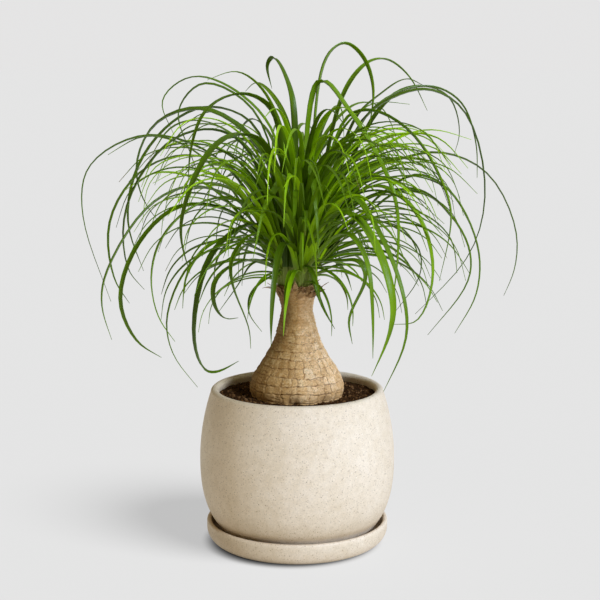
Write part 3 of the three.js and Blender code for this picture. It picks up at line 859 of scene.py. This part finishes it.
# %% [markdown]
# ## The leaves
#
# A leaf is a long strap, channelled along its middle, that rises from the crown, arches over and hangs
# to a hair-thin tip. Curves with a bevel would give round strings, and a plane with a curve modifier
# would have to be set up hundreds of times. Here one strap is made once, from a grid with its wall,
# and a few lines of vector arithmetic lay a copy of it along each leaf's course.

# %% The template strap
LEAF_STEPS = 30
LEAF_WALL = 1.0  # the template's wall, scaled to the leaf's own thickness later


def strap_template():
    """A flat closed strap, 1 by 1, with U across and V along it, and hard side edges."""
    bm = bmesh.new()
    bmesh.ops.create_grid(bm, x_segments=LEAF_STEPS, y_segments=2, size=0.5)
    bmesh.ops.solidify(bm, geom=bm.faces[:], thickness=LEAF_WALL)
    bmesh.ops.recalc_face_normals(bm, faces=bm.faces[:])
    across = bm.loops.layers.uv.new("strap")
    for face in bm.faces:
        face.smooth = True
        for loop in face.loops:
            loop[across].uv = (loop.vert.co.y + 0.5, loop.vert.co.x + 0.5)
    for edge in bm.edges:
        flat = [abs(face.normal.z) > 0.5 for face in edge.link_faces]
        edge.smooth = flat[0] == flat[1]
    return mesh_of("strap", bm)


strap = strap_template()
strap_places = np.array([vert.co[:] for vert in strap.vertices])
strap_step = np.rint((strap_places[:, 0] + 0.5) * LEAF_STEPS).astype(int)  # 0 at the root
strap_side = strap_places[:, 1] * 2  # -1 and 1 at the edges
strap_layer = (strap_places[:, 2] - strap_places[:, 2].max()) / LEAF_WALL  # 0 on top, -1 below
print("a strap has", len(strap.polygons), "faces")

# %% [markdown]
# The crown's four heads and the leaves that the photograph shows one by one are given as in the
# solids: a heading, a width, and the places that the leaf passes, as its reach from the head and its
# height. These places were read off the photograph and turned into millimetres with the model of the
# camera. The other leaves come from a rule, with the same chance as in the solids.

# %% Heads
ROOT_REACH = 2
ROOT_HEIGHTS = (236, 252)
HEAD_OFFSET = 10  # from the trunk's axis to the middle of a head
SECTOR_GAP = 0.3  # the air at each side of the wall between two heads
BLADE_WIDTHS = (3.5, 6.5)
BLADE_ROLL = 40  # degrees that a blade turns about its length, at most
BLADE_DRIFT = 16  # degrees that a leaf strays from its heading by DRIFT_REACH, at most
DRIFT_REACH = 150
TRACED_SWING = 0.5  # a traced leaf strays this share of that, at most
LIFTS = (14, 82)  # degrees over level at which the lowest and the steepest leaves set out
LENGTHS = (105, 250)
ARCHES = (1.0, 1.9)  # 1 bends a leaf evenly, and more bends it further out
ARCH_STEPS = 12

# A sector and a hang are in degrees. The rule adds as many leaves as fill says, and fullness says how
# low and how upright they stand.
HEADS = [
    {
        "name": "leaf_head_left",
        "sector": (142, 244),
        "spread": 1,
        "fill": 20,
        "fullness": (0.2, 0.95),
        "hang": (60, 100),
        "traced": [
            (178, 4, [(50, 331), (115, 357), (165, 332), (172, 290), (150, 215)]),
            (166, 4, [(46, 324), (90, 338), (137, 321), (170, 275), (166, 225), (150, 203)]),
            (200, 7, [(37, 298), (85, 316), (125, 300), (162, 250), (167, 223), (159, 194)]),
            (193, 6, [(32, 344), (63, 362), (102, 351), (138, 300), (138, 249), (124, 230)]),
            (208, 7, [(44, 290), (95, 300), (131, 271), (148, 226), (135, 190), (114, 174)]),
            (216, 5, [(47, 304), (90, 303), (125, 278), (136, 247), (130, 215), (114, 192)]),
            (223, 9, [(28, 282), (59, 278), (90, 255), (105, 200), (96, 170), (80, 164), (55, 169)]),
            (230, 4, [(31, 270), (65, 271), (115, 260), (143, 221), (138, 190), (110, 157)]),
            (237, 6, [(32, 251), (63, 256), (104, 245), (106, 228), (92, 213), (72, 210)]),
            (239, 4, [(18, 238), (34, 236), (54, 226), (56, 212), (38, 193)]),
            (198, 4, [(15, 250), (30, 247), (42, 230), (59, 208)]),
            (241, 5, [(32, 274), (61, 276), (85, 260), (84, 240), (60, 200), (58, 182)]),
            (229, 7, [(6, 340), (16, 377), (56, 392), (95, 378), (110, 350), (114, 323)]),
            (175, 4, [(21, 370), (69, 400), (92, 376), (83, 344), (74, 319)]),
            (158, 4, [(9, 354), (46, 393), (86, 405), (114, 384), (103, 354)]),
            (171, 9, [(11, 322), (35, 358), (73, 378), (115, 365), (133, 330), (128, 300), (113, 279)]),
            (235, 9, [(17, 336), (50, 358), (80, 356), (105, 340), (128, 302), (131, 280), (122, 252)]),
            (150, 5, [(27, 361), (73, 379), (113, 365), (150, 325), (162, 274), (146, 230)]),
        ],
    },
    {
        "name": "leaf_head_front",
        "sector": (244, 333),
        "spread": 1,
        "fill": 34,
        "fullness": (0.5, 1),
        "hang": (20, 75),
        "traced": [
            (325, 9, [(10, 378), (21, 403), (45, 380), (69, 351), (93, 310), (97, 266), (87, 187)]),
            (318, 6, [(28, 299), (55, 311), (86, 284), (114, 238), (120, 200), (95, 151)]),
            (306, 9, [(45, 293), (73, 292), (99, 267), (115, 230), (112, 204), (92, 165)]),
            (298, 6, [(52, 273), (83, 281), (110, 262), (119, 220), (120, 187)]),
            (315, 4, [(11, 242), (19, 225), (28, 210), (40, 196)]),
            (327, 6, [(37, 252), (58, 253), (64, 240), (48, 205), (52, 183)]),
            (248, 8, [(15, 305), (30, 324), (58, 312), (75, 300), (95, 262)]),
            (252, 7, [(19, 262), (50, 269), (68, 251), (80, 215), (81, 191)]),
            (284, 9, [(5, 330), (12, 347), (30, 335), (50, 305), (62, 260)]),
            (265, 8, [(4, 315), (10, 331), (35, 327), (60, 300), (78, 286)]),
        ],
    },
    {
        "name": "leaf_head_right",
        "sector": (-27, 51),
        "spread": 1,
        "fill": 33,
        "fullness": (0.15, 0.95),
        "hang": (60, 100),
        "traced": [
            (20, 7, [(7, 380), (17, 422), (32, 433), (50, 420), (59, 393), (55, 360)]),
            (31, 6, [(31, 380), (56, 413), (80, 420), (110, 404), (133, 374)]),
            (43, 4, [(55, 365), (95, 390), (130, 402), (158, 396)]),
            (35, 5, [(60, 360), (90, 390), (120, 396), (145, 385), (155, 355), (150, 335)]),
            (2, 6, [(41, 364), (75, 389), (104, 394), (134, 375), (152, 310), (140, 253), (93, 201)]),
            (11, 4, [(52, 375), (105, 397), (139, 382), (154, 346), (156, 316)]),
            (6, 5, [(55, 325), (77, 334), (114, 341), (155, 323), (180, 275), (180, 240), (171, 216)]),
            (-10, 9, [(30, 369), (55, 377), (90, 357), (118, 310), (123, 285), (114, 235)]),
            (-15, 5, [(31, 280), (61, 285), (95, 265), (98, 240), (76, 206)]),
            (-20, 7, [(49, 311), (71, 313), (100, 290), (113, 245), (100, 203), (78, 198)]),
            (-10, 5, [(77, 310), (103, 307), (135, 270), (138, 236), (104, 187)]),
            (-3, 5, [(85, 322), (119, 310), (145, 262), (145, 220), (127, 185)]),
        ],
    },
    {
        "name": "leaf_head_back",
        "sector": (51, 142),
        "spread": 1.1,
        "fill": 46,
        "fullness": (0.25, 1),
        "hang": (60, 100),
        "traced": [
            (120, 5, [(4, 335), (18, 369), (44, 390), (72, 399), (93, 391)]),
            (122, 7, [(3, 367), (11, 395), (36, 421), (47, 414), (39, 394)]),
        ],
    },
]
print(sum(len(head["traced"]) for head in HEADS), "leaves are placed one by one")

# %% Courses of the leaves
CLEAR_OF_TRUNK = 1.0


class Head:
    """One of the crown's heads: where it stands, and the two walls that its leaves stay between."""

    def __init__(self, sector, spread, fullness, hang, **_):
        self.first, self.last = (math.radians(side) for side in sector)
        self.spread, self.fullness, self.hang = spread, fullness, hang
        middle = (self.first + self.last) / 2
        self.centre = HEAD_OFFSET * np.array([math.cos(middle), math.sin(middle), 0])
        self.walls = [
            np.array([-math.sin(self.first), math.cos(self.first), 0]),
            np.array([math.sin(self.last), -math.cos(self.last), 0]),
        ]

    def bent_clear(self, line, room):
        """Keeps a course between the walls and off the trunk, and eases the bends that this makes."""
        for wall in self.walls * 2:
            line = line + np.maximum(room - line @ wall, 0)[:, None] * wall
        reach = np.hypot(line[:, 0], line[:, 1])
        clear = trunk_radius(line[:, 2]) + room + CLEAR_OF_TRUNK
        short = (line[:, 2] < CROWN_Z + 2) & (reach < clear)
        line[:, :2] *= np.where(short, clear / np.maximum(reach, 1), 1)[:, None]
        for _ in range(2):
            line[1:-1] = (line[:-2] + 2 * line[1:-1] + line[2:]) / 4
        return line

    def course(self, heading, places, drift=0.0):
        """The smooth line of a leaf that passes the places, each a reach and a height."""
        points = []
        for reach, height in places:
            bearing = heading + drift * reach / DRIFT_REACH
            points.append(self.centre + [reach * math.cos(bearing), reach * math.sin(bearing), height])
        return smooth_line(points, np.linspace(0, 1, LEAF_STEPS + 1))


def arched_places(root, lift, hang, length, arch):
    """Places along an arch whose direction falls from lift to hang, in degrees, over its length."""
    reach, height = root
    places = [root]
    for i in range(ARCH_STEPS):
        angle = math.radians(mix(lift, -hang, ((i + 0.5) / ARCH_STEPS) ** arch))
        reach += length / ARCH_STEPS * math.cos(angle)
        height += length / ARCH_STEPS * math.sin(angle)
        if i % 2 == 1:
            places.append((reach, height))
    return places


def filled_places(head, share, chance):
    """The places of a leaf that fills the dome: share 0 is a low leaf, and 1 stands nearly upright."""
    fullness = mix(*head.fullness, share)
    root = (ROOT_REACH, mix(*ROOT_HEIGHTS, 0.6 * fullness + 0.4 * chance()))
    length = mix(*LENGTHS, fullness) * mix(0.75, 1, chance()) * head.spread
    hang = mix(*head.hang, chance())
    return arched_places(root, mix(*LIFTS, fullness), hang, length, mix(*ARCHES, fullness))


print("the left head stands at", np.round(Head(**HEADS[0]).centre, 1), "mm")

# %% A strap along a course
LEAF_THICK, TIP_THICK = 0.62, 0.3
FINER = 0.78  # a leaf that fills the dome has this share of its sturdy solid's width
GUTTER = 0.48  # how far the edges of a leaf rise over its middle, as a share of its half width
ROOT_SHARE = 0.7  # how wide a leaf starts, as a share of its full width
TAPER, TAPER_EASE = 2.5, 1.15  # the higher the first, the nearer to the tip it narrows
TIP_HALF = 0.13
LEAF_WAVE = 0.12  # how far a blade rocks about its length, in radians


def unit(vectors):
    return vectors / np.linalg.norm(vectors, axis=-1, keepdims=True)


def laid_strap(line, heading, width, roll, gutter=GUTTER, wave=0.0):
    """Places of the template's points when it lies along a course, turning about its length."""
    share = np.linspace(0, 1, len(line))
    along = unit(np.gradient(line, axis=0))
    across = np.array([-math.sin(heading), math.cos(heading), 0])
    flat = unit(across - (along @ across)[:, None] * along)
    turn = (roll * share + wave * np.sin(share * 9 + width * 5))[:, None]
    flat = flat * np.cos(turn) + np.cross(along, flat) * np.sin(turn)
    up = np.cross(along, flat)
    half = 0.5 * width * np.minimum(1, ROOT_SHARE + share) * (1 - share**TAPER) ** TAPER_EASE + TIP_HALF
    thick = mix(LEAF_THICK, TIP_THICK, share)
    rise = gutter * half[strap_step] * strap_side**2 + strap_layer * thick[strap_step]
    sideways = strap_side * half[strap_step]
    return line[strap_step] + flat[strap_step] * sideways[:, None] + up[strap_step] * rise[:, None]


# %% Leaves that only the finished plant has
INNER_LEAVES, SKIRT_LEAVES, SHEATH_LEAVES = 18, 5, 10  # in each head
SOLID_TONES = (0.05, 0.52)  # the leaves that the solids have are the older, deeper green ones
GOLDEN = 0.618  # steps of this share of a turn spread evenly, however many there are

fine_chance = make_random(SEED + 3)


def inner_places():
    """Younger leaves that rise steeply and bend more the further out they get."""
    root = (mix(0, 6, fine_chance()), mix(232, 250, fine_chance()))
    upright = fine_chance() ** 0.55
    lift, hang = mix(56, 87, upright), mix(65, 105, fine_chance())
    length = mix(118, 232, upright) * mix(0.85, 1.05, fine_chance())
    return arched_places(root, lift, hang, length, mix(1.5, 2.4, fine_chance()))


def skirt_places():
    """Short old leaves that leave the crown almost level and hang beside the neck."""
    root = (mix(4, 8, fine_chance()), mix(231, 244, fine_chance()))
    lift, hang = mix(5, 45, fine_chance()), mix(55, 105, fine_chance())
    return arched_places(root, lift, hang, mix(50, 115, fine_chance()), mix(0.9, 1.3, fine_chance()))


def sheath_places():
    """Leaves with broad bases that stand close round the bundle and turn outwards high up."""
    root = (mix(1, 5.5, fine_chance()), mix(230.5, 234, fine_chance()))
    lift, hang = mix(58, 86, fine_chance()), mix(20, 80, fine_chance())
    return arched_places(root, lift, hang, mix(150, 230, fine_chance()), mix(1.8, 3.0, fine_chance()))


def fine_leaves(head):
    """Course, heading, width, roll, tone and age of every leaf that the solids leave out."""
    kinds = [
        (INNER_LEAVES, inner_places, (2.8, 5.4), (0.5, 1.05), 0.1),
        (SKIRT_LEAVES, skirt_places, (2.4, 5.0), (0.15, 0.7), 0.9),
        (SHEATH_LEAVES, sheath_places, (4.0, 6.6), (0.4, 1.05), 0.2),
    ]
    for count, places, widths, tones, age in kinds:
        for i in range(count):
            heading = mix(head.first, head.last, (i + fine_chance()) / count)
            width = mix(*widths, fine_chance())
            roll = math.radians(BLADE_ROLL) * (fine_chance() * 2 - 1)
            drift = math.radians(BLADE_DRIFT) * (fine_chance() * 2 - 1)
            line = head.course(heading, places(), drift)
            line = head.bent_clear(line, width / 2 + SECTOR_GAP)
            yield line, heading, width, roll, mix(*tones, fine_chance()), age * fine_chance()


def solid_leaves(head, traced, fill, chance):
    """The same for the leaves that the solids have, drawn in the same order."""

    def leaf(heading, width, places, swing):
        roll = math.radians(BLADE_ROLL) * (chance() * 2 - 1)
        drift = math.radians(BLADE_DRIFT) * swing * (chance() * 2 - 1)
        line = head.course(heading, places, drift)
        line = head.bent_clear(line, width / 2 + SECTOR_GAP)
        return line, heading, width, roll, mix(*SOLID_TONES, fine_chance()), fine_chance()

    for degrees, width, places in traced:
        heading = math.radians(degrees)
        root = (ROOT_REACH, mix(*ROOT_HEIGHTS, chance()))
        yield leaf(heading, width, [root, *places], TRACED_SWING * abs(math.cos(heading)))
    for i in range(fill):
        heading = mix(head.first, head.last, (i + 0.2 + 0.6 * chance()) / fill)
        width = mix(*BLADE_WIDTHS, chance())
        places = filled_places(head, 1 - (i * GOLDEN) % 1, chance)
        line, _, _, roll, tone, age = leaf(heading, width, places, 1)
        yield line, heading, width * FINER, roll, tone, age


print(INNER_LEAVES + SKIRT_LEAVES + SHEATH_LEAVES, "fine leaves go into each head")

# %% [markdown]
# The bases of the leaves clasp each other in a tight bundle. Real bases could be modelled one in the
# other, but nobody sees past the first of them. So a slim spindle with upright folds stands in the
# middle of each head, in the pale green of the bases at its foot and painted in deep shade higher up,
# and the straps start inside it.

# %% The bundle of bases
BUNDLE_OUTLINE = [(0, 0), (6, 0), (7.5, 12), (9.5, 34), (7, 58), (0, 72)]
BUNDLE_STEPS = 56
BUNDLE_FOLD = 0.9
BUNDLE_FADE, BUNDLE_TONES = (238, 252), (0.3, -0.3)  # from a blade's green to one in deep shade


def bundle_mesh(head):
    """Spins the spindle, folds its skin and sets it in its head's place."""
    line = smooth_line(BUNDLE_OUTLINE, np.linspace(0, 1, 26))
    mesh = spun_mesh("bundle", [(max(r, 0), z) for r, z in line], BUNDLE_STEPS)
    for vert in mesh.vertices:
        x, y, z = vert.co / MM
        angle, radius = math.atan2(y, x), math.hypot(x, y)
        fold = BUNDLE_FOLD * math.cos(14 * angle + z * 0.05) + 0.5 * math.cos(5 * angle + 2)
        stretch = 1 + fold / radius if radius > 2 else 1
        place = np.array([x * stretch, y * stretch, z + CROWN_Z + SECTOR_GAP]) + head.centre
        for wall in head.walls * 2:
            place = place + max(SECTOR_GAP / 2 - place @ wall, 0) * wall
        vert.co = place * MM
    return mesh


# %% Heads of leaves
def leaf_head(head_data, chance):
    head = Head(**head_data)
    leaves = [*solid_leaves(head, head_data["traced"], head_data["fill"], chance), *fine_leaves(head)]
    bm = bmesh.new()
    bm.from_mesh(bundle_mesh(head))
    bundled = len(bm.verts)
    for _ in leaves:
        bm.from_mesh(strap)
    mesh = mesh_of(head_data["name"], bm)
    spots = np.empty(len(mesh.vertices) * 3)
    mesh.vertices.foreach_get("co", spots)
    spots = spots.reshape(-1, 3)
    tones = np.interp(spots[:, 2] / MM, BUNDLE_FADE, BUNDLE_TONES)
    ages = np.zeros(len(spots))
    for number, (line, heading, width, roll, tone, age) in enumerate(leaves):
        here = slice(bundled + number * len(strap_places), bundled + (number + 1) * len(strap_places))
        spots[here] = laid_strap(line, heading, width, roll, wave=LEAF_WAVE) * MM
        tones[here], ages[here] = tone, age
    mesh.vertices.foreach_set("co", spots.ravel())
    for name, values in (("tone", tones), ("age", ages)):
        mesh.attributes.new(name, "FLOAT", "POINT").data.foreach_set("value", values)
    piece = new_object(head_data["name"].replace("leaf_head", "leaves"), mesh)
    print(piece.name, "has", len(leaves), "leaves and", len(mesh.polygons), "faces")
    return piece


# %% [markdown]
# A palm leaf is satin, deep green when old and fresh green when young, paler at its base, and lets a
# little light through. Noise alone would ignore the blade's direction. The strap's UV map says how far
# across and along the blade a point lies, so veins, rib and dry tip follow each leaf, and two
# attributes give every leaf a tone and an age of its own.

# %% The leaf finish
def leaf_finish():
    """Satin strap: deep to fresh green, pale base, fine parallel veins, a little light through it."""
    blade = Finish("palm leaf")
    strap_uv = blade.node("ShaderNodeUVMap", {"uv_map": "strap"})
    across = blade.node("ShaderNodeSeparateXYZ", inputs={0: strap_uv}, output="X")
    along = blade.node("ShaderNodeSeparateXYZ", inputs={0: strap_uv}, output="Y")
    tone, age = blade.attribute("tone"), blade.attribute("age")
    cloud = blade.noise(blade.place(), 60, 2)
    body = blade.ramp(tone + (cloud - 0.5) * 0.25, [
        (0.0, rgb(0.043, 0.097, 0.001)), (0.45, rgb(0.150, 0.295, 0.001)),
        (0.75, rgb(0.33, 0.60, 0.002)), (1.0, rgb(0.50, 0.82, 0.006)),
    ])  # fmt: skip
    base = blade.ramp(along, [(0.01, 1.0), (0.13, 0.0)]) * blade.ramp(tone, [(0.0, 0.0), (0.04, 1.0)])
    body = blade.blend(base * 0.75, body, rgb(0.36, 0.42, 0.09))
    stripes = blade.node("ShaderNodeMath", {"operation": "SINE"}, {0: across * 60.0}) * 0.5 + 0.5
    body = blade.blend(stripes * 0.2, body, rgb(0.26, 0.36, 0.015))
    rib = blade.ramp(across, [(0.44, 0.0), (0.5, 1.0), (0.56, 0.0)])
    body = blade.blend(rib * 0.25, body, rgb(0.32, 0.42, 0.03))
    dry = blade.ramp(along * 0.5 + age * 0.5, [(0.955, 0.0), (0.985, 1.0)])
    body = blade.blend(dry * 0.8, body, rgb(0.30, 0.19, 0.07))
    veins = blade.bump(stripes, 0.06 * MM, 0.6)
    skin = blade.node("ShaderNodeBsdfPrincipled", inputs={
        "Base Color": body, "Roughness": 0.32, "Specular IOR Level": 0.24, "Normal": veins,
    })  # fmt: skip
    lit = blade.blend(0.5, body, rgb(0.40, 0.66, 0.01))
    glow = blade.node("ShaderNodeBsdfTranslucent", inputs={"Color": lit})
    return blade.surface(blade.node("ShaderNodeMixShader", inputs={0: 0.26, 1: skin, 2: glow}))


leaf_green = leaf_finish()
leaf_chance = make_random(SEED + 2)
for head_data in HEADS:
    dressed(leaf_head(head_data, leaf_chance), head_data["name"], leaf_green)

# %% [markdown]
# Where a leaf has died, its base stays on the crown and dries to a brown scale, and some leave a stub
# that sticks out. Both are straps as well, short and wide or short and thin. Their finish is made as
# the leaf's is, from the strap's UV map, but papery and brown.

# %% Dry scales and stubs
SCALES, STUBS = 64, 26
SCALE_REACH = (14.6, 17.4)
SCALE_FOOT = (218, 224)
# Lift and hang are in degrees. With a negative hang, the tip still points up.
SCALE = {"lift": (55, 84), "hang": (-60, -10), "length": (6, 12), "width": (2.6, 5.8)}
STUB = {"lift": (15, 75), "hang": (-60, 30), "length": (8, 16), "width": (0.9, 2.0)}
DRY_ARCH, DRY_GUTTER, DRY_WAVE = 1.2, 0.2, 0.3


def dry_straps():
    """Course, bearing, width and roll of every scale and stub, with a tone."""
    for i in range(SCALES + STUBS):
        bearing = math.tau * (i * GOLDEN + 0.1 * fine_chance())
        root = (mix(*SCALE_REACH, fine_chance()), mix(*SCALE_FOOT, fine_chance()))
        ranges = SCALE if i < SCALES else STUB
        lift, hang, length, width = (mix(*limits, fine_chance()) for limits in ranges.values())
        places = arched_places(root, lift, hang, length, DRY_ARCH)
        outwards = np.array([math.cos(bearing), math.sin(bearing), 0])
        points = [r * outwards + [0, 0, z] for r, z in places]
        line = smooth_line(points, np.linspace(0, 1, LEAF_STEPS + 1))
        yield line, bearing, width, math.radians(mix(-45, 45, fine_chance())), fine_chance()


def dry_finish():
    """Papery brown: ruddy at the foot, lighter towards the tip, with fine straw-coloured fibres."""
    husk = Finish("dry leaf base")
    strap_uv = husk.node("ShaderNodeUVMap", {"uv_map": "strap"})
    across = husk.node("ShaderNodeSeparateXYZ", inputs={0: strap_uv}, output="X")
    along = husk.node("ShaderNodeSeparateXYZ", inputs={0: strap_uv}, output="Y")
    fibres = husk.node("ShaderNodeMath", {"operation": "SINE"}, {0: across * 70.0}) * 0.5 + 0.5
    blotch = husk.noise(husk.place(), 420, 3, 0.6)
    body = husk.ramp(husk.attribute("tone") * 0.5 + blotch * 0.3 + along * 0.25, [
        (0.2, rgb(0.12, 0.055, 0.018)), (0.5, rgb(0.30, 0.155, 0.055)), (0.85, rgb(0.55, 0.36, 0.16)),
    ])  # fmt: skip
    body = husk.blend(fibres * 0.25, body, rgb(0.62, 0.44, 0.22))
    rough = husk.bump(fibres * 0.5 + blotch * 0.5, 0.25 * MM, 0.6)
    sockets = {"Base Color": body, "Roughness": 0.75, "Specular IOR Level": 0.15, "Normal": rough}
    return husk.surface(husk.node("ShaderNodeBsdfPrincipled", inputs=sockets))


def crown_scales():
    dry = [*dry_straps()]
    bm = bmesh.new()
    for _ in dry:
        bm.from_mesh(strap)
    mesh = mesh_of("crown_scales", bm)
    spots = [laid_strap(*course, DRY_GUTTER, DRY_WAVE) * MM for *course, _ in dry]
    mesh.vertices.foreach_set("co", np.vstack(spots).ravel())
    tones = np.repeat([tone for *_, tone in dry], len(strap_places))
    mesh.attributes.new("tone", "FLOAT", "POINT").data.foreach_set("value", tones)
    print(len(dry), "dry scales and stubs have", len(mesh.polygons), "faces")
    return new_object("crown_scales", mesh)


scales = crown_scales()
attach(scales, "root")
scales.data.materials.append(dry_finish())
